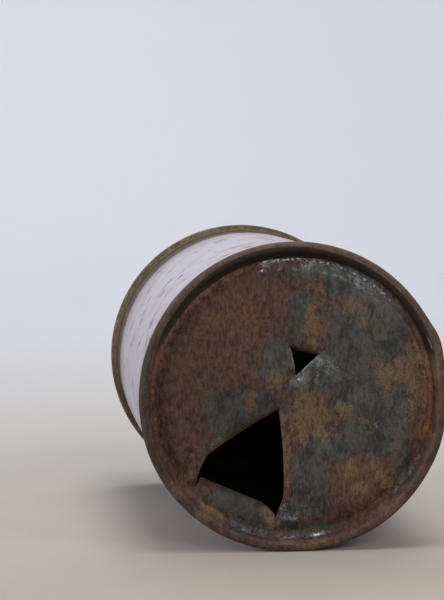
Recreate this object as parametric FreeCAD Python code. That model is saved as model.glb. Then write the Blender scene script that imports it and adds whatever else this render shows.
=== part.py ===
import FreeCAD, Part
import math
import os
from FreeCAD import Vector

# A double-seamed tin can lying on its side, with a pierced front end and a wrapped paper label.
# Millimetres. +Z is up, the can's axis runs along Y, and the pierced end faces -Y.
# The origin is the middle of the line on which the can rests.

# Body
can_height = 111.1          # over both seams
body_diameter = 71.2        # outside of the bare tin
body_plate = 0.30
end_plate = 0.32

# Double seam, layer by layer from the body outwards
wall_fit = 0.02             # chuck wall inside the body
hook_gap = 0.25             # on each side of the cover hook
seal_thickness = 0.26
seam_height = 3.2
body_hook_length = 2.0
cover_hook_length = 1.9
hook_bend = 0.30            # centreline bend of the body hook
crown_inner_bend = 0.44     # centreline bend from chuck wall to crown
fold_bend = 0.45            # centreline bends at the foot of the seam
seal_inset = 0.15           # seal's edge back from the hook's tip
rest_flat = 0.12            # depth to which each seam is worn flat where the can lies on it

# Stamped profile of the ends: depths of the outer face below the seam's crown
countersink_depth = 3.9
ring_depth = 2.9
panel_depth = 2.4
countersink_width = 1.65
ring_width = 1.8
step_run = 0.7
chuck_draft = 0.25
stamping_bend = 0.55

# Lock seam along the body
seam_angle = 270.0          # degrees about the axis, from +X towards +Z: the heavy side lies lowest
lock_width = 5.0
lock_end_gap = 1.0
groove_width = 0.9
groove_depth = 0.15
solder_proud = 0.05

# Paper label
label_thickness = 0.12
label_fit = 0.08
label_front_gap = 0.8       # from the front seam
label_length = 91.0
lap_width = 9.0
lap_angle = 232.0

# Large pierced hole: u runs along the fold line of its tongue, v from the fold into the hole
fold_angle = -118.1         # middle of the fold line about the axis
fold_inset = 0.6            # inside the panel's edge
fold_turn = 4.8             # fold line against the panel's edge
fold_length = 20.7
hole_left_side = 6.1
hole_left_corner = 9.0
hole_apex_u = 0.7
hole_apex_v = 24.9
hole_right_u = 9.8
hole_right_v = 6.9
hole_right_bow_u = 5.05
hole_right_bow_v = 17.2
hole_left_bow_u = 0.63
tongue_bend = 3.2           # outer face
tongue_turn = 84.0
tongue_reach = 6.5          # straight run past the bend
tongue_root = 0.4           # overlap with the panel at the fold
tongue_left_taper = 2.6
tongue_right_taper = 4.9
tongue_tip_width = 6.0

# Small pierced hole: its tongue folds along the top edge
small_hole_x = 2.9
small_hole_z = 10.95
small_fold_length = 7.1
small_fold_turn = 164.5     # direction of the fold line, from +X towards +Z
small_apex_u = 1.1
small_apex_v = 6.2
small_tongue_bend = 1.1
small_tongue_turn = 78.0
small_tongue_reach = 3.2
small_tongue_taper = 1.6
small_tongue_tip = 1.4

# Radii, heights and depths that follow from the sizes above
body_outer = body_diameter / 2
body_inner = body_outer - body_plate
body_middle = body_outer - body_plate / 2
chuck_middle = body_inner - wall_fit - end_plate / 2
cover_hook_middle = body_outer + hook_gap + end_plate / 2
body_hook_inner = cover_hook_middle + end_plate / 2 + hook_gap
body_hook_middle = body_hook_inner + body_plate / 2
seal_middle = body_hook_inner + body_plate + seal_thickness / 2
seam_wall_middle = seal_middle + seal_thickness / 2 + end_plate / 2
seam_radius = seam_wall_middle + end_plate / 2
axis_height = seam_radius - rest_flat
flange_depth = end_plate + seal_thickness
countersink_outer = chuck_middle - chuck_draft
countersink_inner = countersink_outer - countersink_width
ring_outer = countersink_inner - step_run
ring_inner = ring_outer - ring_width
panel_radius = ring_inner - step_run
seal_bend = hook_bend + body_plate / 2 + seal_thickness / 2
crown_outer_bend = seal_bend + seal_thickness / 2 + end_plate / 2
past = 5.0                  # how far cutting solids run past what they cut


def radial(radius, depth):
    return Vector(radius, depth, 0)


def in_plane(origin, across, along):
    """Places a pair of lengths in the plane through origin spanned by two unit vectors."""
    return lambda a, b: origin + across * a + along * b


def polar(radius, degrees):
    """A point of the end's plane, seen from the front."""
    turn = math.radians(degrees)
    return Vector(radius * math.cos(turn), 0, radius * math.sin(turn))


def unit(a, b):
    """Direction from one corner to the next."""
    length = math.dist(a[:2], b[:2])
    return ((b[0] - a[0]) / length, (b[1] - a[1]) / length)


def sheet_side(corners, offset):
    """One face of a bent sheet: its corners moved sideways, each with the bend radius of that face."""
    runs = [unit(a, b) for a, b in zip(corners, corners[1:])]
    runs = [runs[0]] + runs + [runs[-1]]
    side = []
    for (x, y, bend), before, after in zip(corners, runs, runs[1:]):
        scale = offset / (1 + before[0] * after[0] + before[1] * after[1])
        turn = before[0] * after[1] - before[1] * after[0]
        moved = (x - (before[1] + after[1]) * scale, y + (before[0] + after[0]) * scale)
        radius = max(bend - math.copysign(offset, turn * offset), 0) if bend else 0
        side.append((moved[0], moved[1], radius))
    return side


def rounded_edges(corners, place):
    """Lines and tangent arcs through corners given as x, y, bend radius."""
    edges = []
    start = corners[0]
    for before, corner, after in zip(corners, corners[1:], corners[2:]):
        into = unit(before, corner)
        out = unit(corner, after)
        half_turn = math.acos(max(-1, min(1, into[0] * out[0] + into[1] * out[1]))) / 2
        reach = corner[2] * math.tan(half_turn)
        first = (corner[0] - into[0] * reach, corner[1] - into[1] * reach)
        last = (corner[0] + out[0] * reach, corner[1] + out[1] * reach)
        edges.append(Part.makeLine(place(start[0], start[1]), place(*first)))
        if corner[2] > 0:
            towards = unit(corner, ((first[0] + last[0]) / 2, (first[1] + last[1]) / 2))
            rise = corner[2] / math.cos(half_turn) - corner[2]
            middle = (corner[0] + towards[0] * rise, corner[1] + towards[1] * rise)
            edges.append(Part.Arc(place(*first), place(*middle), place(*last)).toShape())
        start = last
    edges.append(Part.makeLine(place(start[0], start[1]), place(corners[-1][0], corners[-1][1])))
    return edges


def sheet_face(corners, thickness, place):
    """Section of a sheet whose centreline runs through corners given as x, y, bend radius."""
    left = sheet_side(corners, thickness / 2)
    right = sheet_side(corners, -thickness / 2)
    edges = rounded_edges(left, place) + rounded_edges(right, place)
    edges.append(Part.makeLine(place(left[0][0], left[0][1]), place(right[0][0], right[0][1])))
    edges.append(Part.makeLine(place(left[-1][0], left[-1][1]), place(right[-1][0], right[-1][1])))
    return Part.Face(Part.Wire(Part.__sortEdges__(edges)))


def flat_face(points):
    return Part.Face(Part.makePolygon(points + points[:1]))


def turned(face):
    return face.revolve(Vector(0, 0, 0), Vector(0, 1, 0), 360)


def ring_sector(inner, outer, degrees, width, near, far):
    """A strip of a tube wall, width long around the outside, centred on an angle, from depth near to far."""
    half = math.degrees(width / outer / 2)
    wall = Part.makeCylinder(outer, far - near, Vector(0, near, 0), Vector(0, 1, 0))
    wall = wall.cut(Part.makeCylinder(inner, far - near, Vector(0, near, 0), Vector(0, 1, 0)))
    corner = outer / math.cos(math.radians(half)) + past
    wedge = flat_face([Vector(0, near, 0), polar(corner, degrees - half) + Vector(0, near, 0),
                       polar(corner, degrees + half) + Vector(0, near, 0)])
    return wall.common(wedge.extrude(Vector(0, far - near, 0)))


def single(shape):
    """The one solid that a boolean result holds."""
    return shape.removeSplitter().Solids[0]


def to_rear(shape):
    """Turns an end made for the front to face the rear."""
    shape = shape.copy()
    shape.rotate(Vector(0, 0, 0), Vector(0, 0, 1), 180)
    return shape


def plain_end():
    """The stamped end, crown at depth 0, rolled into the cover hook at its edge, flat where it lies."""
    half = end_plate / 2
    corners = [
        (0, panel_depth + half, 0),
        (panel_radius, panel_depth + half, stamping_bend),
        (ring_inner, ring_depth + half, stamping_bend),
        (ring_outer, ring_depth + half, stamping_bend),
        (countersink_inner, countersink_depth + half, stamping_bend),
        (countersink_outer, countersink_depth + half, stamping_bend),
        (chuck_middle, half, crown_inner_bend),
        (seam_wall_middle, half, crown_outer_bend),
        (seam_wall_middle, seam_height - half, fold_bend),
        (cover_hook_middle, seam_height - half, fold_bend),
        (cover_hook_middle, seam_height - cover_hook_length, 0),
    ]
    end = turned(sheet_face(corners, end_plate, radial))
    below = Part.makeBox(2 * seam_radius, seam_height + past, seam_radius,
                         Vector(-seam_radius, -past / 2, -axis_height - seam_radius))
    return end.cut(below)


def pierced(end, outline, origin, along, into, fold):
    """Cuts one pierced hole and adds the tongue of tin folded inward along its first edge.

    outline is given along the fold line and into the hole. fold holds the tongue's bend radius, turn,
    straight reach, and the outline of the tongue along the fold line and inwards.
    """
    bend, turn, reach, tongue_outline = fold
    inward = Vector(0, 1, 0)
    above = origin - inward * panel_depth / 2
    cutter = flat_face([above + along * u + into * v for u, v in outline])
    end = end.cut(cutter.extrude(inward * (countersink_depth + past)))
    middle_bend = bend - end_plate / 2
    run = middle_bend * math.tan(math.radians(turn) / 2)
    slope = (math.cos(math.radians(turn)), math.sin(math.radians(turn)))
    corners = [
        (-tongue_root, end_plate / 2, 0),
        (run, end_plate / 2, middle_bend),
        (run + slope[0] * (run + reach), end_plate / 2 + slope[1] * (run + reach), 0),
    ]
    start = outline[0][0]
    length = outline[-1][0] - start
    strip = sheet_face(corners, end_plate, in_plane(origin + along * start, into, inward))
    strip = strip.extrude(along * length)
    keep = flat_face([origin - into * past + along * u + inward * w for u, w in tongue_outline])
    tongue = strip.common(keep.extrude(into * (2 * past + bend)))
    return end.fuse(tongue)


def pierced_end():
    half_fold = fold_length / 2
    middle = polar(panel_radius - fold_inset, fold_angle) + Vector(0, panel_depth, 0)
    along = polar(1, fold_angle + 90 + fold_turn)
    into = polar(1, fold_angle + 180 + fold_turn)
    outline = [
        (-half_fold, 0),
        (-half_fold - hole_left_bow_u, hole_left_side),
        (-half_fold, hole_left_corner),
        (hole_apex_u, hole_apex_v),
        (hole_right_bow_u, hole_right_bow_v),
        (hole_right_u, hole_right_v),
        (half_fold, 0),
    ]
    depth = tongue_bend + tongue_reach + past
    tip_start = -half_fold + 2 * tongue_left_taper
    tongue_outline = [
        (-half_fold, -past),
        (-half_fold, 0),
        (-half_fold + tongue_left_taper, tongue_bend),
        (tip_start, depth),
        (tip_start + tongue_tip_width, depth),
        (half_fold - tongue_right_taper, tongue_bend),
        (half_fold, 0),
        (half_fold, -past),
    ]
    fold = (tongue_bend, tongue_turn, tongue_reach, tongue_outline)
    end = pierced(plain_end(), outline, middle, along, into, fold)

    half_fold = small_fold_length / 2
    middle = Vector(small_hole_x, panel_depth, small_hole_z)
    along = polar(1, small_fold_turn)
    into = polar(1, small_fold_turn + 90)
    outline = [(-half_fold, 0), (small_apex_u, small_apex_v), (half_fold, 0)]
    depth = small_tongue_bend + small_tongue_reach + past
    tongue_outline = [
        (-half_fold, -past),
        (-half_fold, 0),
        (-half_fold + small_tongue_taper, small_tongue_bend),
        (-small_tongue_tip / 2, depth),
        (small_tongue_tip / 2, depth),
        (half_fold - small_tongue_taper, small_tongue_bend),
        (half_fold, 0),
        (half_fold, -past),
    ]
    fold = (small_tongue_bend, small_tongue_turn, small_tongue_reach, tongue_outline)
    return single(pierced(end, outline, middle, along, into, fold))


def seal():
    """Sealing compound lining the crown and the outer wall of a seam, against the body hook."""
    depth = end_plate + seal_thickness / 2
    corners = [
        (body_middle + hook_bend, depth, 0),
        (seal_middle, depth, seal_bend),
        (seal_middle, flange_depth + body_hook_length - seal_inset, 0),
    ]
    return turned(sheet_face(corners, seal_thickness, radial))


def body():
    """The rolled body with a hook at each end, the lock fold inside and the groove of its side seam."""
    near = flange_depth + body_plate / 2
    tip = flange_depth + body_hook_length
    corners = [
        (body_hook_middle, tip, 0),
        (body_hook_middle, near, hook_bend),
        (body_middle, near, hook_bend),
        (body_middle, can_height - near, hook_bend),
        (body_hook_middle, can_height - near, hook_bend),
        (body_hook_middle, can_height - tip, 0),
    ]
    shell = turned(sheet_face(corners, body_plate, radial))
    lock_start = countersink_depth + end_plate + lock_end_gap
    lock = ring_sector(body_inner - 2 * body_plate, body_inner + body_plate / 2, seam_angle, lock_width,
                       lock_start, can_height - lock_start)
    return single(shell.fuse(lock).cut(solder_run(0)))


def solder_run(proud):
    start = seam_height + lock_end_gap
    return ring_sector(body_outer - groove_depth, body_outer + proud, seam_angle, groove_width,
                       start, can_height - start)


def label():
    """One turn of paper round the body, with the lap lying on its first edge."""
    inner = body_outer + label_fit
    outer = inner + label_thickness
    start = seam_height + label_front_gap
    sleeve = Part.makeCylinder(outer, label_length, Vector(0, start, 0), Vector(0, 1, 0))
    sleeve = sleeve.cut(Part.makeCylinder(inner, label_length, Vector(0, start, 0), Vector(0, 1, 0)))
    lap = ring_sector(outer - label_thickness / 2, outer + label_thickness, lap_angle, lap_width,
                      start, start + label_length)
    return single(sleeve.fuse(lap))


def build():
    front = Vector(0, -can_height / 2, axis_height)
    rear = Vector(0, can_height / 2, axis_height)
    pieces = {
        "can_body": (body(), front),
        "side_seam_solder": (single(solder_run(solder_proud)), front),
        "front_end": (pierced_end(), front),
        "front_seal": (seal(), front),
        "rear_end": (to_rear(single(plain_end())), rear),
        "rear_seal": (to_rear(seal()), rear),
        "paper_label": (label(), front),
    }
    os.makedirs("parts", exist_ok=True)
    for name, (shape, place) in pieces.items():
        shape.translate(place)
        shape.exportStep("parts/" + name + ".step")
        box = shape.optimalBoundingBox(False)
        print(name, shape.isValid(), "solids", len(shape.Solids), "mm3", round(shape.Volume, 1),
              "y", round(box.YMin, 2), round(box.YMax, 2), "z", round(box.ZMin, 2), round(box.ZMax, 2))


build()
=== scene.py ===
import math

import bmesh
import bpy
import numpy as np
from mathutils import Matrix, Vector, geometry


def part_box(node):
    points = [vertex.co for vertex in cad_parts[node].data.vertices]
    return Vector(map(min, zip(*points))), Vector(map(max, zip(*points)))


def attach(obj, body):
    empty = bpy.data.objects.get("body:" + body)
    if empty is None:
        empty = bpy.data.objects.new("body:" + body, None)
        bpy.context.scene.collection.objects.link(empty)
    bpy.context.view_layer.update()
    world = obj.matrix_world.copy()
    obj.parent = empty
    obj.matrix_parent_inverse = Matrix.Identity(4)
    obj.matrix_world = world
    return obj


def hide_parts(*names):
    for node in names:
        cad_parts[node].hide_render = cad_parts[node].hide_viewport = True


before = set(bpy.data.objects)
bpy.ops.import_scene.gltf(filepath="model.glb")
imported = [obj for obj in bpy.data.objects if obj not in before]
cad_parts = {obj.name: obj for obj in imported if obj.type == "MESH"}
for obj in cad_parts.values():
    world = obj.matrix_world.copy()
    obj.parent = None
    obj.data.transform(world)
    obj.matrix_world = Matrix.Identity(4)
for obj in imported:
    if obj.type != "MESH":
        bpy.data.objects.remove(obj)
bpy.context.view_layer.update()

# Sizes in millimetres, worked out from the frame. The can's axis lies along Y.
MM = 0.001


def node_box(node):
    low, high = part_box(node)
    return [v / MM for v in low], [v / MM for v in high]


end_low, end_high = node_box("front_end")
rear_high = node_box("rear_end")[1]
label_low, label_high = node_box("paper_label")
seam_radius = (end_high[0] - end_low[0]) / 2
axis_height = end_high[2] - seam_radius
front_face = end_low[1]
rear_face = rear_high[1]
label_outer = (label_high[0] - label_low[0]) / 2

# Stamped profile of an end. Depths are those of the outer face, below the seam's crown
plate = 0.32
panel_depth = 2.4
ring_depth = 2.9
countersink_depth = 3.9
panel_radius = 30.05
step_run = 0.7
ring_width = 1.8
chuck_draft = 0.25
seam_thickness = 2.34
seam_height = 3.2
hook_reach = 1.69
ring_inner = panel_radius + step_run
ring_outer = ring_inner + ring_width
countersink_inner = ring_outer + step_run
chuck_radius = seam_radius - seam_thickness

# Large pierced hole: u along the fold of its tongue, v from the fold into the hole
fold_middle = (-13.88, -25.95)
fold_direction = -23.3
fold_half = 10.36
hole_left = [(-10.36, 0.0), (-11.0, 3.2), (-11.0, 6.1), (-10.2, 9.3), (-4.7, 17.7), (0.7, 24.9)]
hole_right = [(0.7, 24.9), (5.0, 17.3), (7.1, 13.0), (9.7, 6.9), (10.15, 3.5), (10.36, 0.0)]
tongue_lean = 18.0
tongue_bend = 3.8
tongue_turn = 100.0
tongue_length = 11.0

# Small pierced hole, corners in the end's plane
small_a = (-0.54, 11.91)
small_b = (6.34, 9.99)
small_c = (0.83, 4.81)
small_lean = 40.0
small_bend = 1.1
small_turn = 84.0
small_length = 4.2

# Patches on the pierced end, as x, z, half width, half height: bare metal, then tan, dark red and orange rust
BARE = [
    (18.2, 15.5, 12.0, 13.0), (18.5, -1.5, 9.5, 11.0), (5.0, -19.6, 5.5, 11.0), (-12.7, -3.9, 9.5, 6.2),
    (-4.4, 8.9, 4.5, 6.0), (0.8, 18.5, 2.6, 9.0), (3.0, 22.4, 4.0, 1.8), (11.0, 29.0, 12.0, 3.6),
    (14.8, -10.8, 12.0, 6.0), (7.6, 6.9, 7.5, 6.5), (-14.5, -25.0, 8.5, 3.0), (27.2, -17.5, 2.2, 5.5),
    (-17.5, -9.0, 4.5, 5.0), (-9.5, -30.0, 7.5, 3.4), (-0.8, -27.0, 3.4, 3.4),
    (14.0, 25.5, 8.0, 4.5), (9.2, 27.0, 2.6, 4.0), (1.8, 2.4, 3.0, 2.6), (21.0, 22.0, 5.0, 5.0),
    (4.0, -31.8, 7.5, 1.8),
]
TAN = [
    (4.6, 17.6, 3.0, 4.2), (5.2, 26.4, 2.4, 2.2), (14.2, 21.2, 3.2, 2.8), (3.6, -4.9, 5.2, 6.5),
    (12.3, -3.9, 2.7, 2.2), (23.1, 5.0, 3.6, 4.5), (29.0, 4.0, 2.6, 9.0), (33.5, 6.5, 2.0, 5.0),
    (-10.3, -1.4, 2.1, 2.2), (7.9, -9.8, 2.6, 2.1), (-1.3, -14.7, 0.9, 10.0), (-3.9, 4.5, 2.2, 2.4),
    (-17.5, -12.0, 2.5, 1.6), (17.5, 17.5, 1.6, 1.6), (18.0, -5.8, 1.5, 1.5), (24.0, 30.0, 2.0, 2.0),
    (-5.4, -29.0, 1.3, 3.0), (2.0, -35.8, 10.0, 1.2), (24.0, -27.0, 2.6, 1.4), (-20.5, -28.2, 4.0, 2.0),
    (-25.5, -20.0, 2.6, 3.0), (13.5, -17.5, 2.0, 2.4), (19.5, -16.5, 1.8, 2.8), (16.5, -22.5, 2.2, 1.8),
    (22.5, -20.0, 1.6, 2.0),
]
RED = [
    (16.2, -20.4, 8.8, 6.0), (20.0, -25.5, 7.0, 3.4), (33.4, -1.0, 2.6, 5.5), (-14.0, 20.0, 8.0, 7.0),
]
ORANGE = [
    (-33.2, 2.2, 1.0, 1.1), (-33.6, 0.2, 0.6, 0.7), (-23.3, -15.6, 0.9, 0.9), (33.0, -8.5, 0.8, 3.0),
    (3.8, -32.0, 1.6, 0.6),
]

# Patches on the unpierced end, in the same form
REAR_BARE = [
    (-10, 8, 16, 9), (2, 4, 14, 5), (12, -6, 9, 14), (4, 22, 14, 5), (-16, -18, 12, 6), (20, 12, 5, 9),
]
REAR_TAN = [(0, 0, 6, 5), (18, 14, 5, 4), (-22, 2, 3, 6), (8, -24, 6, 3)]
REAR_RED = [(-6, -26, 10, 5), (24, 4, 5, 9)]
REAR_ORANGE = [(20, -20, 1, 1), (-12, 22, 0.8, 1)]


class Shader:
    """A node material written as calls that return output sockets."""

    def __init__(self, name):
        self.material = bpy.data.materials.new(name)
        self.material.use_nodes = True
        self.tree = self.material.node_tree
        self.surface = self.tree.nodes["Principled BSDF"]

    def feed(self, socket, value):
        if isinstance(value, bpy.types.NodeSocket):
            self.tree.links.new(value, socket)
        else:
            socket.default_value = value

    def node(self, kind, inputs, **settings):
        made = self.tree.nodes.new(kind)
        for key, value in settings.items():
            setattr(made, key, value)
        for key, value in inputs.items():
            self.feed(made.inputs[key], value)
        return made

    def place(self, scale=(1, 1, 1)):
        """Object coordinates in millimetres, stretched per axis."""
        coords = self.tree.nodes.new("ShaderNodeTexCoord").outputs["Object"]
        return self.stretch(coords, [s / MM for s in scale])

    def stretch(self, vector, scale):
        return self.node("ShaderNodeVectorMath", {0: vector, 1: scale}, operation="MULTIPLY").outputs[0]

    def attribute(self, name, output="Fac"):
        return self.node("ShaderNodeAttribute", {}, attribute_name=name).outputs[output]

    def noise(self, vector, scale, detail=4.0, rough=0.55, warp=0.0):
        inputs = {"Vector": vector, "Scale": scale, "Detail": detail, "Roughness": rough, "Distortion": warp}
        return self.node("ShaderNodeTexNoise", inputs).outputs["Fac"]

    def spots(self, vector, scale):
        return self.node("ShaderNodeTexVoronoi", {"Vector": vector, "Scale": scale}).outputs["Distance"]

    def math(self, operation, a, b=0.0):
        return self.node("ShaderNodeMath", {0: a, 1: b}, operation=operation).outputs[0]

    def ramp(self, value, low, high, bottom=0.0, top=1.0):
        inputs = {"Value": value, "From Min": low, "From Max": high, "To Min": bottom, "To Max": top}
        return self.node("ShaderNodeMapRange", inputs, interpolation_type="SMOOTHSTEP").outputs["Result"]

    def times(self, a, b):
        return self.math("MULTIPLY", a, b)

    def plus(self, first, *others):
        for other in others:
            first = self.math("ADD", first, other)
        return first

    def rest(self, value):
        """What is left of 1."""
        return self.math("SUBTRACT", 1.0, value)

    def away(self, value, amount):
        """How far a noise lies from its middle, times an amount."""
        return self.times(self.math("SUBTRACT", value, 0.5), amount)

    def mix(self, factor, a, b):
        """Between two colours."""
        return self.node("ShaderNodeMix", {0: factor, 6: a, 7: b}, data_type="RGBA").outputs[2]

    def blend(self, factor, a, b):
        """Between two numbers."""
        return self.node("ShaderNodeMix", {0: factor, 2: a, 3: b}, data_type="FLOAT").outputs[0]

    def bump(self, height, distance):
        return self.node("ShaderNodeBump", {"Height": height, "Distance": distance * MM}).outputs["Normal"]

    def finish(self, **inputs):
        for key, value in inputs.items():
            self.feed(self.surface.inputs[key.replace("_", " ")], value)
        return self.material


def srgb(red, green, blue):
    """A colour written as it looks on screen, 0 to 255."""
    linear = []
    for value in (red, green, blue):
        v = value / 255
        linear.append(v / 12.92 if v <= 0.04045 else ((v + 0.055) / 1.055) ** 2.4)
    return (*linear, 1.0)


def rusted_tin(name, rust, metal, tan, rim_colours):
    """Tinplate worn to bare grey metal in patches, with red-brown and tan rust grown over the rest, and with
    painted highlights, painted light and painted shade where the end's attributes put them.

    Each colour is given as a dark and a light tone.
    """
    s = Shader(name)
    place = s.place()
    streaks = s.noise(s.place((1.0, 1.0, 0.45)), 1.5, 6.0, 0.65)
    blotch = s.noise(place, 0.22, 9.0, 0.62, 0.2)
    mottle = s.noise(s.place((1.0, 1.0, 0.75)), 0.6, 6.0, 0.6)
    clouds = s.noise(s.place((1.0, 1.0, 0.7)), 0.33, 7.0, 0.64, 0.3)
    crumbs = s.noise(place, 2.2, 5.0, 0.7)
    grit = s.noise(place, 6.0, 3.0, 0.7)

    # Where each finish, painted highlight and painted shade lies, with ragged edges
    ragged = s.plus(s.away(blotch, 1.7), s.away(mottle, 1.8), s.away(crumbs, 1.5))
    bare = s.ramp(s.plus(s.attribute("bare"), ragged), -0.16, 0.34)
    tanned = s.ramp(s.plus(s.attribute("tan"), s.away(mottle, 2.4), s.away(crumbs, 1.5)), -0.22, 0.52)
    reddened = s.ramp(s.plus(s.attribute("red"), ragged), -0.2, 0.4)
    open_metal = s.times(bare, s.rest(s.times(reddened, 0.92)))
    # worn marks bright metal with painted highlights; painted_glint is the painted near-white glint
    worn = s.attribute("worn")
    bright_metal_and_highlight = s.ramp(s.plus(worn, s.away(crumbs, 1.6), s.away(mottle, 1.8)), 0.25, 0.85)
    painted_glint = s.ramp(s.plus(worn, s.away(crumbs, 0.9)), 0.62, 0.95)
    stained = s.ramp(s.plus(s.attribute("stain"), s.away(mottle, 0.8)), 0.25, 0.8)
    glowing = s.ramp(s.plus(s.attribute("orange"), s.away(crumbs, 1.6)), -0.05, 0.6)
    # Mask of painted shade, and of darker colour on the tongue and in the rear countersink
    shade_and_grime = s.ramp(s.plus(s.attribute("shade_and_grime"), s.away(mottle, 0.35)), 0.15, 0.85)
    flecks = s.times(s.ramp(s.spots(place, 1.1), 0.15, 0.06), s.ramp(clouds, 0.52, 0.62))

    # Plain rust and plain metal, both with clouds of tan
    rusty = s.mix(s.ramp(s.plus(streaks, s.away(mottle, 0.7)), 0.28, 0.72), rust[0], rust[1])
    tan_on_rust = s.ramp(s.plus(clouds, s.away(crumbs, 0.5)), 0.5, 0.66)
    rusty = s.mix(s.times(tan_on_rust, 0.55), rusty, tan[0])
    red_rust = s.mix(s.ramp(streaks, 0.3, 0.7), srgb(64, 43, 35), srgb(104, 76, 58))
    rusty = s.mix(s.times(reddened, 0.6), rusty, red_rust)
    steel = s.mix(s.ramp(s.plus(clouds, s.away(streaks, 0.7)), 0.3, 0.72), metal[0], metal[1])
    tan_on_metal = s.ramp(s.plus(clouds, s.away(crumbs, 0.6)), 0.55, 0.66)
    steel = s.mix(s.times(tan_on_metal, 0.45), steel, tan[0])

    # What lies on them, with painted highlights, painted light and painted shade
    colour = s.mix(open_metal, rusty, steel)
    tan_tone = s.mix(s.ramp(s.plus(crumbs, s.away(streaks, 0.8)), 0.3, 0.7), tan[0], tan[1])
    colour = s.mix(s.times(tanned, 0.75), colour, tan_tone)
    # Bright bluish metal, turning to a painted near-white glint
    metal_and_glint_colour = s.mix(s.ramp(grit, 0.35, 0.65), srgb(82, 89, 97), srgb(132, 139, 150))
    metal_and_glint_colour = s.mix(painted_glint, metal_and_glint_colour, srgb(206, 212, 222))
    colour = s.mix(bright_metal_and_highlight, colour, metal_and_glint_colour)
    rust_stain = s.mix(crumbs, srgb(66, 44, 26), srgb(104, 72, 42))
    colour = s.mix(s.times(stained, 0.8), colour, rust_stain)
    colour = s.mix(s.times(glowing, 0.8), colour, srgb(134, 84, 44))
    # On the unpierced end the fold attribute is painted light, lighter toward the seam's fold
    rim_place = s.plus(mottle, s.away(crumbs, 0.8), s.attribute("fold"))
    rim_tone = s.mix(s.ramp(rim_place, 0.3, 0.7), rim_colours[0], rim_colours[1])
    colour = s.mix(s.times(s.attribute("rim"), 0.8), colour, rim_tone)
    colour = s.mix(s.times(flecks, 0.55), colour, srgb(150, 136, 118))
    speckle = s.ramp(s.plus(grit, s.away(crumbs, 0.8)), 0.3, 0.7, 0.87, 1.14)
    # pale above 0 is painted light and below 0 painted shade
    colour = s.stretch(colour, s.times(speckle, s.plus(s.attribute("pale"), 1.0)))
    # Painted shade on the pierced end, darker colour on its tongue and in the unpierced end's countersink,
    # towards near black
    colour = s.mix(s.times(shade_and_grime, 0.94), colour, srgb(38, 28, 19))

    # Gloss and relief
    shine = s.times(open_metal, s.rest(s.times(tanned, 0.85)))
    shine = s.math("MAXIMUM", s.times(shine, 0.55), bright_metal_and_highlight)
    shine = s.times(shine, s.rest(shade_and_grime))
    rough = s.blend(shine, s.ramp(mottle, 0.3, 0.7, 0.62, 0.8), s.ramp(crumbs, 0.3, 0.7, 0.26, 0.42))
    height = s.plus(s.times(crumbs, s.blend(shine, 1.0, 0.5)),
                    s.times(grit, s.blend(shine, 0.5, 0.3)),
                    s.times(s.rest(open_metal), 0.5))
    return s.finish(Base_Color=colour, Metallic=s.times(shine, 0.6), Roughness=rough,
                    Specular_IOR_Level=0.28, Normal=s.bump(height, 0.1))


def body_tin():
    """Tinplate tarnished olive brown outside, greyer beside the label, and bare or rusty inside the can."""
    s = Shader("body_tin")
    place = s.place()
    around = s.noise(s.place((1.0, 0.12, 1.0)), 0.9, 4.0, 0.6)
    spots = s.noise(place, 0.5, 6.0, 0.65, 0.3)
    grit = s.noise(place, 5.0, 3.0, 0.7)
    parts = s.node("ShaderNodeSeparateXYZ", {0: place})
    scratches = s.noise(s.place((0.25, 2.2, 0.25)), 2.4, 3.0, 0.7)
    tarnish = s.mix(s.ramp(spots, 0.35, 0.68), srgb(62, 56, 47), srgb(88, 80, 70))
    tarnish = s.mix(s.ramp(around, 0.5, 0.7), tarnish, srgb(68, 54, 40))
    tarnish = s.mix(s.ramp(scratches, 0.6, 0.7, 0.0, 0.4), tarnish, srgb(96, 90, 78))
    ragged = s.plus(parts.outputs[1], s.times(spots, 7.0))
    by_label = s.ramp(ragged, label_high[1] + 4.6, label_high[1] + 10.0)
    tin = s.mix(by_label, s.mix(around, srgb(60, 55, 58), srgb(80, 74, 79)), tarnish)
    height = s.math("SUBTRACT", parts.outputs[2], axis_height)
    radius = s.math("SQRT", s.plus(s.times(parts.outputs[0], parts.outputs[0]), s.times(height, height)))
    inside = s.ramp(radius, label_outer - 0.42, label_outer - 0.36, 1.0, 0.0)
    bare_tin = s.mix(s.ramp(spots, 0.4, 0.65), srgb(132, 128, 120), srgb(96, 78, 62))
    colour = s.mix(inside, tin, bare_tin)
    rough = s.ramp(spots, 0.4, 0.7, 0.68, 0.85)
    return s.finish(Base_Color=colour, Metallic=0.15, Roughness=rough,
                    Specular_IOR_Level=0.3, Normal=s.bump(s.plus(grit, spots), 0.05))


def solder_metal():
    s = Shader("solder")
    lumps = s.noise(s.place((1.0, 0.4, 1.0)), 1.4, 4.0, 0.6)
    colour = s.mix(s.ramp(lumps, 0.35, 0.7), srgb(92, 92, 96), srgb(142, 140, 142))
    return s.finish(Base_Color=colour, Metallic=0.7, Roughness=s.ramp(lumps, 0.3, 0.7, 0.4, 0.65),
                    Normal=s.bump(lumps, 0.08))


def seal_compound():
    s = Shader("seal")
    grain = s.noise(s.place(), 3.0, 4.0, 0.6)
    colour = s.mix(grain, srgb(36, 32, 29), srgb(62, 54, 47))
    rough = s.ramp(grain, 0.3, 0.7, 0.7, 0.9)
    return s.finish(Base_Color=colour, Roughness=rough, Normal=s.bump(grain, 0.05))


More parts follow.
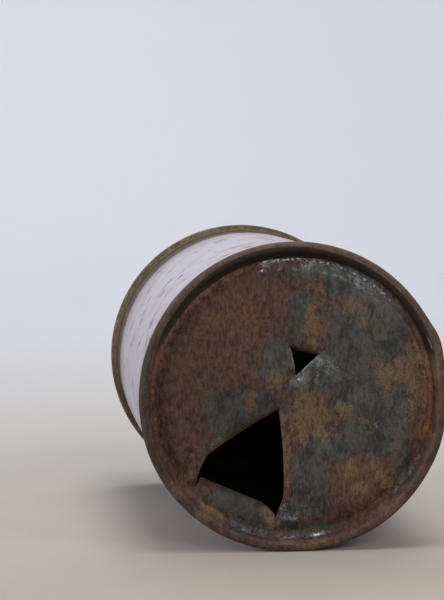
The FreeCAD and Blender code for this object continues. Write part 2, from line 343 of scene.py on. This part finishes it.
def label_paper():
    """Aged paper: fibres, faded pink tint, foxing, worn flecks of print with no lettering, dirty edges."""
    s = Shader("label")
    sheet = s.attribute("sheet", "Vector")
    fibres = s.noise(s.stretch(sheet, (0.5, 1.0, 1.0)), 2.6, 5.0, 0.65)
    cloud = s.noise(sheet, 0.06, 4.0, 0.55, 0.4)
    stain = s.noise(sheet, 0.16, 5.0, 0.6, 0.3)
    colour = s.mix(s.ramp(cloud, 0.45, 0.7), srgb(168, 169, 180), srgb(168, 154, 165))
    colour = s.mix(s.times(s.ramp(stain, 0.52, 0.72), 0.4), colour, srgb(156, 149, 150))
    colour = s.mix(s.times(fibres, 0.25), colour, srgb(160, 156, 166))
    marks = s.ramp(s.noise(s.stretch(sheet, (0.17, 0.26, 1.0)), 1.0, 5.0, 0.66, 0.2), 0.54, 0.605)
    kept = s.ramp(s.noise(s.stretch(sheet, (0.7, 1.0, 1.0)), 0.09, 6.0, 0.7), 0.44, 0.57)
    reds = s.ramp(s.noise(sheet, 0.1, 3.0, 0.5, 0.5), 0.5, 0.56)
    ink = s.mix(reds, srgb(84, 82, 94), srgb(152, 82, 94))
    colour = s.mix(s.times(s.times(marks, kept), 0.9), colour, ink)
    # On the label this holds only dirt along the paper's edges, no painted shade
    shade_and_grime = s.plus(s.attribute("shade_and_grime"), s.away(stain, 0.8))
    colour = s.mix(s.ramp(shade_and_grime, 0.45, 1.0, 0.0, 0.7), colour, srgb(128, 108, 86))
    colour = s.mix(s.times(s.attribute("shade"), 0.9), colour, srgb(98, 94, 104))
    height = s.plus(fibres, s.times(s.noise(sheet, 0.5, 4.0, 0.6), 1.5))
    return s.finish(Base_Color=colour, Roughness=s.ramp(fibres, 0.3, 0.7, 0.72, 0.88),
                    Normal=s.bump(height, 0.05))


def smooth_step(value, low, high):
    t = np.clip((value - low) / (high - low), 0.0, 1.0)
    return t * t * (3 - 2 * t)


def band(value, low, high, soft):
    """1 between low and high, fading to 0 over a soft edge outside them."""
    return smooth_step(value, low - soft, low) * smooth_step(value, high + soft, high)


def sector(angle, start, stop, soft):
    """1 between two angles in degrees, fading to 0 outside them."""
    off = np.abs((angle - (start + stop) / 2 + 180) % 360 - 180)
    half = (stop - start) / 2
    return smooth_step(off, half + soft, half)


def spot(x, z, at_x, at_z, half_x, half_z):
    """1 at a place, fading smoothly around it."""
    return np.exp(-((x - at_x) / half_x) ** 2 - ((z - at_z) / half_z) ** 2)


def on_crown(radius):
    """1 on the seam and 0 inside its chuck wall."""
    return smooth_step(radius, chuck_radius - 0.3, chuck_radius + 0.8)


def patches(x, z, spots):
    """How deep a point lies in the nearest of some wavy ellipses: highest in the middle, negative outside."""
    outside, deepest = -1.5, 0.6
    bent_x = x + 1.3 * ripple(x, z, 8.0, 31) + 0.5 * ripple(x, z, 2.6, 33)
    bent_z = z + 1.6 * ripple(x, z, 8.0, 32) + 0.6 * ripple(x, z, 2.6, 34)
    depth = np.full(x.shape, outside)
    for cx, cz, half_x, half_z in spots:
        reach = np.hypot((bent_x - cx) / half_x, (bent_z - cz) / half_z)
        depth = np.maximum(depth, (1 - reach) * min(1.0, half_x / 4.0 + 0.4))
    return np.clip(depth, outside, deepest)


def ripple(x, z, scale, seed):
    """A gentle uneven surface, mostly between -1 and 1, from crossed waves with seeded directions."""
    draw = np.random.default_rng(seed)
    total = np.zeros(x.shape)
    waves, gain = 7, 1.6
    for _ in range(waves):
        angle = draw.uniform(0, 2 * math.pi)
        stretch = draw.uniform(0.6, 1.6) / scale
        phase = draw.uniform(0, 2 * math.pi)
        total += np.sin((x * math.cos(angle) + z * math.sin(angle)) * stretch * 2 * math.pi + phase)
    return total / waves * gain


def curve_through(points, spacing):
    """Points at about the given spacing on a smooth curve through the given ones."""
    ends = [points[0]] + list(points) + [points[-1]]
    result = []
    for before, start, stop, after in zip(ends, ends[1:], ends[2:], ends[3:]):
        count = max(2, round(math.dist(start, stop) / spacing))
        for k in range(count):
            t = k / count
            result.append(tuple(
                0.5 * (2 * b + (c - a) * t + (2 * a - 5 * b + 4 * c - d) * t ** 2
                       + (3 * b - a - 3 * c + d) * t ** 3)
                for a, b, c, d in zip(before, start, stop, after)))
    return result + [tuple(points[-1])]


def distance_to(points, x, z):
    """Distance of each point to a polyline, and how far along it the nearest place lies, 0 to 1."""
    best = np.full(x.shape, 1e9)
    along = np.zeros(x.shape)
    count = len(points) - 1
    for k in range(count):
        (ax, az), (bx, bz) = points[k], points[k + 1]
        dx, dz = bx - ax, bz - az
        t = np.clip(((x - ax) * dx + (z - az) * dz) / (dx * dx + dz * dz), 0, 1)
        gap = np.hypot(x - ax - t * dx, z - az - t * dz)
        along = np.where(gap < best, (k + t) / count, along)
        best = np.minimum(best, gap)
    return best, along


def inside_outline(points, x, z):
    """Which points lie inside a closed outline."""
    inside = np.zeros(x.shape, bool)
    for (ax, az), (bx, bz) in zip(points, points[1:] + points[:1]):
        crosses = (az > z) != (bz > z)
        if bz != az:
            inside ^= crosses & (x < (bx - ax) * (z - az) / (bz - az) + ax)
    return inside


fold_u = (math.cos(math.radians(fold_direction)), math.sin(math.radians(fold_direction)))
fold_v = (-fold_u[1], fold_u[0])


def from_fold(u, v):
    return (fold_middle[0] + u * fold_u[0] + v * fold_v[0], fold_middle[1] + u * fold_u[1] + v * fold_v[1])


edge_spacing = 0.35
large_left = [from_fold(*p) for p in curve_through(hole_left, edge_spacing)]
large_right = [from_fold(*p) for p in curve_through(hole_right, edge_spacing)]
fold_line = [from_fold(*p) for p in curve_through([(fold_half, 0), (-fold_half, 0)], edge_spacing)]
large_outline = large_left[:-1] + large_right[:-1] + fold_line[:-1]
small_ab = curve_through([small_a, small_b], edge_spacing)
small_bc = curve_through([small_b, small_c], edge_spacing)
small_ca = curve_through([small_c, small_a], edge_spacing)
small_outline = small_ab[:-1] + small_bc[:-1] + small_ca[:-1]


def stamped_depth(radius, slack=0.0):
    """Depth of the outer face of an end below its crown, out to the countersink. Slack widens its steps."""
    reach = 0.2 + slack
    first = (ring_depth - panel_depth) * smooth_step(radius, panel_radius - reach, ring_inner + reach)
    down = smooth_step(radius, ring_outer - reach, countersink_inner + 0.2)
    second = (countersink_depth - ring_depth) * down
    return panel_depth + first + second


def pierced_depth(x, z):
    """Depth of the pierced end's outer face: the stamping, dents, and tin pushed in beside the holes."""
    broad_dents, fine_dents = 0.16, 0.05
    fold_reach, fold_sink = 3.0, 0.55
    lip_rise = 0.5
    radius = np.hypot(x, z)
    angle = np.degrees(np.arctan2(z, x))
    softened = 1.1 * sector(angle, 135, 330, 25) + 0.7 * sector(angle, 44, 112, 16)
    depth = stamped_depth(radius, softened)
    inner = smooth_step(radius, countersink_inner, panel_radius - 3)
    depth = depth + inner * broad_dents * ripple(x, z, 21.0, 4) + inner * fine_dents * ripple(x, z, 6.0, 9)

    # The large hole: its left edge rolled in, and the panel sunk along its fold
    gap, along = distance_to(large_left, x, z)
    rolled = smooth_step(along, 0.0, 0.5)
    depth = depth + (0.4 + rolled) * np.exp(-gap / 0.8)
    u = (x - fold_middle[0]) * fold_u[0] + (z - fold_middle[1]) * fold_u[1]
    v = (x - fold_middle[0]) * fold_v[0] + (z - fold_middle[1]) * fold_v[1]
    beside = smooth_step(np.abs(u), fold_half + 1.5, fold_half - 2.0)
    depth = depth + fold_sink * beside * np.clip((v + fold_reach) / fold_reach, 0, 1) ** 2 * (v < 0.05)

    # A lip pushed out at the panel's lower edge
    lip = np.exp(-((x - 2.0) / 4.6) ** 2) * smooth_step(z, -25.5, -29.4)
    lip = lip * smooth_step(radius, panel_radius + 1.3, panel_radius - 0.1)
    depth = depth - lip_rise * lip

    # The small hole: its fold and its lower right edge sunk
    gap, _ = distance_to(small_ab, x, z)
    depth = depth + 0.8 * np.exp(-gap / 0.6)
    gap, along = distance_to(small_bc, x, z)
    return depth + (0.35 + 0.9 * along) * np.clip(1 - gap / 2.4, 0, 1) ** 1.3


def rear_depth(x, z):
    """Depth of the unpierced end's outer face: the stamping and shallow dents."""
    broad_dents, fine_dents = 0.14, 0.04
    radius = np.hypot(x, z)
    inner = smooth_step(radius, countersink_inner, panel_radius - 3)
    dents = broad_dents * ripple(x, z, 24.0, 21) + fine_dents * ripple(x, z, 7.0, 5)
    return stamped_depth(radius) + inner * dents


def rounded_profile(corners, step):
    """Points along lines joined by tangent arcs, from corners given as radius, depth, bend radius."""
    points = [corners[0][:2]]
    for before, corner, after in zip(corners, corners[1:], corners[2:]):
        at = Vector(corner[:2])
        into = (at - Vector(before[:2])).normalized()
        out = (Vector(after[:2]) - at).normalized()
        half_turn = into.angle(out) / 2
        reach = corner[2] * math.tan(half_turn)
        first = at - into * reach
        centre = at + (out - into).normalized() * (corner[2] / math.cos(half_turn))
        start = first - centre
        sign = 1 if into.cross(out) > 0 else -1
        count = max(3, round(corner[2] * 2 * half_turn / step))
        for k in range(count + 1):
            turn = sign * 2 * half_turn * k / count
            c, d = math.cos(turn), math.sin(turn)
            points.append((centre.x + start.x * c - start.y * d, centre.y + start.x * d + start.y * c))
    points.append(corners[-1][:2])
    return points


def seam_profile():
    """Outer face of an end from the countersink over the crown, down the seam and round its fold."""
    return rounded_profile([
        (countersink_inner + 0.25, countersink_depth, 0),
        (chuck_radius - chuck_draft, countersink_depth, 0.62),
        (chuck_radius, 0, 0.9),
        (seam_radius, 0, 1.2),
        (seam_radius, seam_height, 0.6),
        (seam_radius - hook_reach, seam_height, 0.12),
        (seam_radius - hook_reach, seam_height - 1.2, 0),
    ], 0.12)


def disc_points(outlines, rings, turns):
    """Points of the flat part: the outlines of the holes, rings at its edge, and a jittered grid inside."""
    pitch, row_share, jitter = 0.62, 0.9, 0.1
    ring_clearance, grid_clearance = 0.25, 0.3
    draw = np.random.default_rng(7)
    points, loops = [], []
    for outline in outlines:
        first = len(points)
        points += outline
        loops.append([(first + k, first + (k + 1) % len(outline)) for k in range(len(outline))])
    fixed = np.array(points) if points else np.empty((0, 2))
    for radius in rings:
        for k in range(turns):
            angle = 2 * math.pi * k / turns
            points.append((radius * math.cos(angle), radius * math.sin(angle)))
    ring_points = np.array(points[len(fixed):])
    if len(fixed):
        near = np.min(np.hypot(ring_points[:, None, 0] - fixed[None, :, 0],
                               ring_points[:, None, 1] - fixed[None, :, 1]), axis=1)
        outermost = np.hypot(*ring_points.T) > rings[0] - 1e-6
        points = points[:len(fixed)] + [tuple(p) for p in ring_points[(near > ring_clearance) | outermost]]
    reach = rings[-1] - pitch * 0.7
    count = int(reach / pitch)
    for i in range(-count, count + 1):
        for j in range(-count, count + 1):
            x = (i + 0.5 * (j % 2)) * pitch + draw.uniform(-jitter, jitter)
            z = j * pitch * row_share + draw.uniform(-jitter, jitter)
            if math.hypot(x, z) >= reach:
                continue
            if not len(fixed) or np.min(np.hypot(fixed[:, 0] - x, fixed[:, 1] - z)) > grid_clearance:
                points.append((x, z))
    return points, [edge for loop in loops for edge in loop]


def tongue_grid(root, into, bend, turn, length, lean, narrow, rows):
    """Rows of points of a tongue of tin that leaves its root line and rolls inward.

    root holds x, depth, z of the fold line's points, into the direction across it. lean is the slope in
    degrees with which it starts. narrow tells which part of the root's length is left at a share of the
    tongue's length, as a pair of start and end.
    """
    count = len(root)
    table = []
    arc = bend * math.radians(turn - lean)
    start = math.radians(lean)
    for k in range(rows + 1):
        run = length * k / rows
        angle = start + min(run, arc) / bend
        straight = max(run - arc, 0)
        out = bend * (math.sin(angle) - math.sin(start)) + straight * math.cos(angle)
        sink = bend * (math.cos(start) - math.cos(angle)) + straight * math.sin(angle)
        low, high = narrow(k / rows)
        row = []
        for i in range(count):
            t = (low + (high - low) * i / (count - 1)) * (count - 1)
            j = min(int(t), count - 2)
            f = t - j
            x, depth, z = (root[j][m] * (1 - f) + root[j + 1][m] * f for m in range(3))
            row.append((x + into[0] * out, depth + sink, z + into[1] * out))
        table.append(row)
    return table


class Sheet:
    """Vertices and faces of one side of a thin sheet, in the end's own plane: x, depth, z in millimetres."""

    def __init__(self):
        self.points = []
        self.faces = []

    def add_grid(self, table, first=None, closed=False):
        """Adds rows of points joined into quads. first gives the indices of an existing first row."""
        rows = []
        for k, row in enumerate(table):
            if k == 0 and first is not None:
                rows.append(first)
                continue
            rows.append(list(range(len(self.points), len(self.points) + len(row))))
            self.points += row
        width = len(rows[0])
        for lower, upper in zip(rows, rows[1:]):
            for i in range(width if closed else width - 1):
                j = (i + 1) % width
                self.faces.append((lower[i], lower[j], upper[j], upper[i]))


def rim_dent(angle):
    """How far the seam of the pierced end is knocked out of round, by angle in degrees."""
    bulge = 0.6 * np.exp(-((angle - 21.0) / 6.5) ** 2) * smooth_step(angle, 0, 12)
    low_right = 0.36 * smooth_step(angle, -80, -55) * smooth_step(angle, -3, -22)
    flat = -0.28 * smooth_step(angle, 45, 110) * smooth_step(angle, 215, 185)
    left = -0.22 * np.exp(-((angle - 165.0) / 14.0) ** 2)
    return bulge + low_right + flat + left


def nearest(corners, places):
    """Index of the corner at each of some places."""
    return [int(np.argmin(np.hypot(corners[:, 0] - x, corners[:, 1] - z))) for x, z in places]


def end_sheet(outlines, depth_of, dent):
    """The outer face of a whole end, with its holes, and the corners of its flat part."""
    turns = 360
    sheet = Sheet()
    rings = [countersink_inner + 0.25, countersink_inner, countersink_inner - 0.3, ring_outer + 0.1,
             ring_outer - 0.25, ring_outer - 0.9, ring_inner + 0.3, ring_inner, ring_inner - 0.35,
             panel_radius, panel_radius - 0.35]
    flat, edges = disc_points(outlines, rings, turns)
    result = geometry.delaunay_2d_cdt([Vector(p) for p in flat], edges, [], 0, 1e-5)
    corners = np.array([tuple(p) for p in result[0]])
    faces = np.array(result[2])
    middle = corners[faces].mean(axis=1)
    keep = np.ones(len(faces), bool)
    for outline in outlines:
        keep &= ~inside_outline(outline, middle[:, 0], middle[:, 1])
    depth = depth_of(corners[:, 0], corners[:, 1])
    sheet.points = [(x, d, z) for (x, z), d in zip(corners, depth)]
    sheet.faces = [tuple(int(i) for i in f) for f in faces[keep]]
    angles = 2 * math.pi * np.arange(turns) / turns
    shift = dent((np.degrees(angles) + 90) % 360 - 90)
    table = []
    for radius, level in seam_profile():
        near_rim = smooth_step(np.array(radius), chuck_radius - 1.0, chuck_radius + 0.3)
        reach = radius + shift * near_rim
        table.append([(r * math.cos(a), level, r * math.sin(a)) for r, a in zip(reach, angles)])
    sheet.add_grid(table, first=nearest(corners, [(x, z) for x, _, z in table[0]]), closed=True)
    return sheet, corners


def large_tongue_span(share):
    """The tongue narrows from its fold, faster on the right."""
    low = 0.02 * smooth_step(share, 0.0, 0.2) + 0.30 * smooth_step(share, 0.2, 1.0)
    high = 1.0 - 0.24 * smooth_step(share, 0.02, 0.45) - 0.24 * smooth_step(share, 0.35, 1.0)
    return 1 - high, 1 - low


def small_tongue_span(share):
    """This tongue narrows alike on both sides."""
    return 0.1 + 0.28 * share, 0.9 - 0.28 * share


def front_sheet():
    """The pierced end's outer face with both tongues."""
    sheet, corners = end_sheet([large_outline, small_outline], pierced_depth, rim_dent)
    small_into = Vector((small_b[1] - small_a[1], small_a[0] - small_b[0])).normalized()
    tongues = [
        (fold_line, fold_v, tongue_bend, tongue_turn, tongue_length, tongue_lean, large_tongue_span, 30),
        (small_ab, small_into, small_bend, small_turn, small_length, small_lean, small_tongue_span, 14),
    ]
    for line, *form in tongues:
        row = nearest(corners, line)
        sheet.add_grid(tongue_grid([sheet.points[i] for i in row], *form), first=row)
    return sheet


def set_attribute(mesh, name, values):
    mesh.attributes.new(name, "FLOAT", "POINT").data.foreach_set("value", np.asarray(values, np.float32))


def thick_piece(name, points, faces, thickness, outward):
    """A closed mesh object from one side of a sheet, in metres in the shared frame.

    outward tells in which direction the given side faces at its first face. The thickness lies behind it.
    """
    sharp_from = math.radians(38)
    mesh = bpy.data.meshes.new(name)
    mesh.from_pydata([tuple(c * MM for c in p) for p in points], [], faces)
    mesh.update()
    piece = bpy.data.objects.new(name, mesh)
    bpy.context.scene.collection.objects.link(piece)
    bm = bmesh.new()
    bm.from_mesh(mesh)
    bmesh.ops.recalc_face_normals(bm, faces=bm.faces)
    bm.faces.ensure_lookup_table()
    if bm.faces[0].normal.dot(Vector(outward)) < 0:
        bmesh.ops.reverse_faces(bm, faces=bm.faces)
    bm.to_mesh(mesh)
    bm.free()
    solid = piece.modifiers.new("thickness", "SOLIDIFY")
    solid.thickness = thickness * MM
    solid.offset = -1
    solid.use_even_offset = False
    depsgraph = bpy.context.evaluated_depsgraph_get()
    done = bpy.data.meshes.new_from_object(piece.evaluated_get(depsgraph))
    piece.modifiers.clear()
    piece.data = done
    bpy.data.meshes.remove(mesh)
    done.name = name
    done.shade_smooth()
    done.set_sharp_from_angle(angle=sharp_from)
    return piece


def flat_places(mesh):
    """x and z of a mesh's vertices from the can's axis, in millimetres."""
    places = np.empty(len(mesh.vertices) * 3, np.float32)
    mesh.vertices.foreach_get("co", places)
    places = places.reshape(-1, 3) / MM
    return places[:, 0], places[:, 2] - axis_height


def dress_end(piece, spots, marks):
    """Stores the end's patches, seam and other marks as attributes for its material."""
    x, z = flat_places(piece.data)
    for name, list_of_spots in spots.items():
        set_attribute(piece.data, name, patches(x, z, list_of_spots))
    clean = 1 - 0.7 * sector(np.degrees(np.arctan2(z, x)), 205, 375, 15)
    set_attribute(piece.data, "rim", clean * on_crown(np.hypot(x, z)))
    for name, values in marks(x, z).items():
        set_attribute(piece.data, name, values)


def pierced_marks(x, z):
    """Where the pierced end gets painted shade and a darker tongue, bright metal with painted highlights, and
    rust stain, and where painted light and shade make it paler or darker.
    """
    radius = np.hypot(x, z)
    angle = np.degrees(np.arctan2(z, x))
    small_gap, _ = distance_to(small_ab, x, z)

    # Painted shade under the rim, in the lower ring and along the small hole's fold, where the crown, the
    # panel's edge and the rolled fold would shade them; a darker colour on the large tongue
    crown_middle = (chuck_radius + seam_radius) / 2
    dark_start = countersink_inner + 0.45 + 0.9 * sector(angle, 0, 48, 22) - 0.35 * sector(angle, 88, 145, 12)
    dark_stop = crown_middle - 0.35 - 0.35 * sector(angle, 12, 75, 12) - 0.7 * sector(angle, 145, 200, 30)
    under_rim = band(radius, dark_start, dark_stop, 0.5) * sector(angle, 26, 148, 22)
    low_ring = band(radius, panel_radius + 0.25, countersink_inner, 0.3) * sector(angle, 258, 322, 14)
    tongue = spot(x, z + 0.42 * (x + 13.0), -13.0, -25.6, 8.0, 3.4)
    by_fold = np.exp(-small_gap / 0.6)

    # Painted highlights and glints on bright metal: on the upper ring, on the lower bead and by the holes
    top_ring = band(radius, panel_radius + 0.2, countersink_inner + 0.2, 0.25) * sector(angle, 46, 101, 7)
    sparkle = np.clip(0.25 + 1.3 * ripple(x, z, 1.3, 41), 0, 1)
    outer_edge = sparkle * band(radius, ring_outer, ring_outer + 0.45, 0.25)
    inner_edge = band(radius, panel_radius, ring_inner, 0.2)
    ring_highlight = top_ring * (0.35 + 0.65 * outer_edge + 0.06 * inner_edge)
    beads = (0.46 * sector(angle, 252, 283, 6) + 0.34 * np.exp(-((x - 6.2) / 1.4) ** 2) * (z < 0)
             + 0.38 * sector(angle, 317, 333, 5))
    bead_highlight = band(radius, chuck_radius - 0.85, chuck_radius - 0.3, 0.2) * beads
    lip_highlight = spot(x, z, -0.2, -28.5, 3.4, 1.3)
    tip_highlight = spot(x, z, -2.4, -27.6, 1.2, 2.6)
    small_hole_glint = spot(x, z, 1.6, 4.1, 1.0, 0.6)
    glint = spot(x, z, -7.6, 30.0, 0.7, 0.6)
    sheen = spot(x, z, 8.0, 6.8, 5.0, 3.4)
    bevel_sheen = np.exp(-distance_to(small_bc, x, z)[0] / 1.3)
    edge_highlight = np.exp(-(distance_to(small_ca, x, z)[0] / 0.18) ** 2)

    # Rust stain along the large hole's left edge and the small hole's fold
    gap, along = distance_to(large_left, x, z)
    by_large = np.exp(-gap) * smooth_step(along, 0.15, 0.6)

    # Painted light on the outer step, painted shade above the large hole, and painted light and shade on the
    # crown's light and dark sides
    step = band(radius, ring_outer - 0.1, countersink_inner + 0.7, 0.5)
    step_light_by_angle = 0.25 + 0.95 * sector(angle, -14, 166, 12) + 0.65 * sector(angle, 224, 278, 10)
    shade_above_hole = spot(x, z, -14.5, -3.5, 10.0, 7.0)
    crown_light = 0.3 * sector(angle, 12, 95, 20) - 0.35 * sector(angle, 158, 205, 18)
    return {
        # Painted shade, with a darker colour on the large tongue
        "shade_and_grime": np.maximum.reduce([under_rim, 0.14 * low_ring, 0.5 * tongue, 0.7 * by_fold]),
        # Bright metal with painted highlights and glints
        "worn": np.maximum.reduce([ring_highlight, bead_highlight, 1.15 * lip_highlight, 0.85 * tip_highlight, small_hole_glint, glint,
                                   0.42 * sheen, 0.74 * bevel_sheen, 0.55 * edge_highlight]),
        "stain": np.maximum(by_large, np.exp(-small_gap / 0.7)),
        # Painted light, and painted shade where negative
        "pale": step * step_light_by_angle - 0.32 * shade_above_hole + on_crown(radius) * crown_light,
    }


def plain_marks(x, z):
    """A darker band in the unpierced end's countersink, and painted light on a rim that is lighter away from
    its outer edge, lifting the shade in the groove by the body.
    """
    radius = np.hypot(x, z)
    corner = band(radius, countersink_inner, chuck_radius, 0.5)
    return {
        "shade_and_grime": 0.5 * corner,
        # Painted light: the seam is lighter toward its fold, over the shaded groove by the body
        "fold": 0.4 * smooth_step(radius, seam_radius - 0.3, seam_radius - 1.3) - 0.15,
    }


def make_front_end():
    sheet = front_sheet()
    points = [(x, front_face + depth, max(axis_height + z, 0.0)) for x, depth, z in sheet.points]
    piece = thick_piece("pierced_front_end", points, sheet.faces, plate, (0, -1, 0))
    spots = {"bare": BARE, "tan": TAN, "red": RED, "orange": ORANGE}
    dress_end(piece, spots, pierced_marks)
    rust = (srgb(43, 30, 27), srgb(91, 64, 55))
    metal = (srgb(46, 47, 45), srgb(82, 84, 80))
    tan = (srgb(86, 68, 50), srgb(114, 92, 68))
    rim = (srgb(58, 47, 41), srgb(86, 71, 62))
    piece.data.materials.append(rusted_tin("rusted_tin", rust, metal, tan, rim))
    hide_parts("front_end")
    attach(piece, "root")


def make_rear_end():
    sheet, _ = end_sheet([], rear_depth, np.zeros_like)
    points = [(-x, rear_face - depth, max(axis_height + z, 0.0)) for x, depth, z in sheet.points]
    piece = thick_piece("rear_end_stamping", points, sheet.faces, plate, (0, 1, 0))
    spots = {"bare": REAR_BARE, "tan": REAR_TAN, "red": REAR_RED, "orange": REAR_ORANGE}
    dress_end(piece, spots, plain_marks)
    rust = (srgb(74, 62, 46), srgb(108, 92, 70))
    metal = (srgb(82, 77, 66), srgb(114, 107, 92))
    tan = (srgb(96, 78, 56), srgb(126, 104, 78))
    rim = (srgb(80, 72, 59), srgb(134, 123, 104))
    piece.data.materials.append(rusted_tin("rear_tin", rust, metal, tan, rim))
    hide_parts("rear_end")
    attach(piece, "root")


def make_label():
    """The wrapped label: one turn and a lap, slightly wrinkled, with worn, uneven edges."""
    paper = 0.1
    lap_layers = 0.24
    lap_width = 9.0
    lap_middle = math.radians(232.0)
    lap_rise = 0.102
    wave_height, crease_height, crease_at = 0.02, 0.015, 22
    far_inset, near_inset, near_waves = 0.15, 0.1, 0.08
    grime_reach, shade_reach = 2.0, 7.0
    around_count, along_count = 420, 90
    base = label_outer - lap_layers + paper
    lap = lap_width / base
    start = lap_middle - lap / 2
    full_turn = 2 * math.pi
    turn = full_turn + lap
    low, high = label_low[1], label_high[1]
    draw = np.random.default_rng(12)
    nicks = [(draw.uniform(0, full_turn), draw.uniform(0.5, 1.6), draw.uniform(0.3, 1.0)) for _ in range(9)]
    points, faces, sheet_places, shade_and_grime, shade = [], [], [], [], []
    for i in range(around_count + 1):
        angle = start + turn * i / around_count
        run = (angle - start) * base
        worn = 0.12 * math.sin(run * 0.9) + 0.1 * math.sin(run * 2.3 + 1)
        for nick_angle, nick_width, nick_depth in nicks:
            off = ((angle - nick_angle + math.pi) % full_turn - math.pi) * base
            worn += nick_depth * math.exp(-(off / nick_width) ** 2)
        far = high - far_inset - abs(worn)
        near = low + near_inset + near_waves * math.sin(run * 1.3) ** 2
        raised = float(smooth_step(np.array(angle - start), full_turn - 0.05, full_turn + 0.03))
        for j in range(along_count + 1):
            y = near + (far - near) * j / along_count
            wave = 0.5 + 0.5 * math.sin(run * 0.21 + 2.0 * math.sin(y * 0.05))
            crease = math.exp(-((y - crease_at - 3 * math.sin(run * 0.08)) / 0.8) ** 2)
            radius = base + raised * lap_rise + wave_height * wave + crease_height * crease
            points.append((radius * math.cos(angle), y, axis_height + radius * math.sin(angle)))
            sheet_places.append((run, y, 0.0))
            shade_and_grime.append(math.exp(-min(y - near, far - y) / grime_reach))
            shade.append(math.exp(-(far - y) / shade_reach))
    for i in range(around_count):
        for j in range(along_count):
            a = i * (along_count + 1) + j
            faces.append((a, a + 1, a + along_count + 2, a + along_count + 1))
    outward = (math.cos(start), 0, math.sin(start))
    piece = thick_piece("label_wrap", points, faces, paper, outward)
    mesh = piece.data
    count = len(mesh.vertices)
    repeats = -(-count // len(points))
    places = np.array((sheet_places * repeats)[:count], np.float32)
    mesh.attributes.new("sheet", "FLOAT_VECTOR", "POINT").data.foreach_set("vector", places.ravel())
    set_attribute(mesh, "shade_and_grime", (shade_and_grime * repeats)[:count])
    set_attribute(mesh, "shade", (shade * repeats)[:count])
    mesh.materials.append(label_paper())
    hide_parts("paper_label")
    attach(piece, "root")


def dress_nodes():
    """Finishes for the solids whose shape stays as it is."""
    seal = seal_compound()
    finishes = {
        "can_body": body_tin(),
        "side_seam_solder": solder_metal(),
        "front_seal": seal,
        "rear_seal": seal,
    }
    for name, material in finishes.items():
        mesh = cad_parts[name].data
        mesh.materials.clear()
        mesh.materials.append(material)


def make_stage():
    """A plain pale sheet that runs level under the can and sweeps up behind it, cream turning to white."""
    width, front, back, bend, top = 3.0, -1.2, 0.75, 0.5, 1.8
    cream_until, white_from = -0.26, 0.80
    steps = 24
    profile = [(front, 0.0), (back, 0.0)]
    for k in range(1, steps + 1):
        turn = math.pi / 2 * k / steps
        profile.append((back + bend * math.sin(turn), bend * (1 - math.cos(turn))))
    profile.append((back + bend, top))
    points = [(side * width / 2, y, z) for y, z in profile for side in (-1, 1)]
    faces = [(2 * k, 2 * k + 1, 2 * k + 3, 2 * k + 2) for k in range(len(profile) - 1)]
    mesh = bpy.data.meshes.new("studio_sheet")
    mesh.from_pydata(points, [], faces)
    mesh.shade_smooth()
    sheet = bpy.data.objects.new("studio_sheet", mesh)
    bpy.context.scene.collection.objects.link(sheet)
    s = Shader("studio_sheet")
    coords = s.tree.nodes.new("ShaderNodeTexCoord").outputs["Object"]
    parts = s.node("ShaderNodeSeparateXYZ", {0: coords})
    far = s.ramp(parts.outputs[1], cream_until, white_from)
    grain = s.noise(coords, 40.0, 5.0, 0.6)
    cream = s.mix(grain, srgb(154, 146, 135), srgb(162, 154, 144))
    s.finish(Base_Color=s.mix(far, cream, srgb(209, 213, 224)), Roughness=0.9)
    mesh.materials.append(s.material)


def area_light(name, at, target, size, power, colour):
    """A square lamp aimed at a point: places and size in metres, power in watts."""
    data = bpy.data.lights.new(name, "AREA")
    data.shape = "SQUARE"
    data.size = size
    data.energy = power
    data.color = colour
    lamp = bpy.data.objects.new(name, data)
    lamp.location = at
    lamp.rotation_euler = (Vector(target) - Vector(at)).to_track_quat("-Z", "Y").to_euler()
    bpy.context.scene.collection.objects.link(lamp)


def make_lights():
    """Plain soft studio light: five lamps and a dim warm surround."""
    middle = (0.0, 0.0, axis_height * MM)
    floor_behind = (0.0, 0.6, 0.0)
    warmest, warm, cool = (1.0, 0.985, 0.96), (1.0, 0.99, 0.97), (0.97, 0.98, 1.0)
    area_light("key", (0.02, -0.16, 0.90), middle, 0.35, 3.0, warmest)
    area_light("overhead", (0.1, 0.55, 1.2), floor_behind, 0.9, 7.6, cool)
    area_light("front", (0.14, -1.00, 0.60), middle, 0.36, 3.0, warm)
    area_light("right", (0.62, -0.70, 0.62), middle, 0.3, 2.2, warm)
    area_light("left", (-1.57, -0.36, 0.47), middle, 0.83, 18.0, cool)
    world = bpy.data.worlds.new("studio")
    world.use_nodes = True
    surround = world.node_tree.nodes["Background"].inputs
    surround["Color"].default_value = srgb(240, 228, 206)
    surround["Strength"].default_value = 0.26
    bpy.context.scene.world = world


def make_camera():
    """The photograph's view: a long lens, a little above and to the left of the can's axis."""
    image_height = 600
    focal_pixels = 2114.4
    camera = bpy.data.cameras.new("camera")
    camera.sensor_width = 36.0
    camera.lens = focal_pixels * camera.sensor_width / image_height
    camera.clip_start = 0.01
    view = bpy.data.objects.new("camera", camera)
    from_near_rim = (-72.02, -495.58, 58.56)
    view.location = (from_near_rim[0] * MM, (front_face + from_near_rim[1]) * MM,
                     (axis_height + from_near_rim[2]) * MM)
    pitch, yaw = 4.033, 6.295
    view.rotation_euler = (math.radians(90 - pitch), 0, math.radians(-yaw))
    bpy.context.scene.collection.objects.link(view)
    bpy.context.scene.camera = view


make_front_end()
make_rear_end()
make_label()
dress_nodes()
make_stage()
make_lights()
make_camera()
bpy.context.scene.view_settings.view_transform = "Standard"
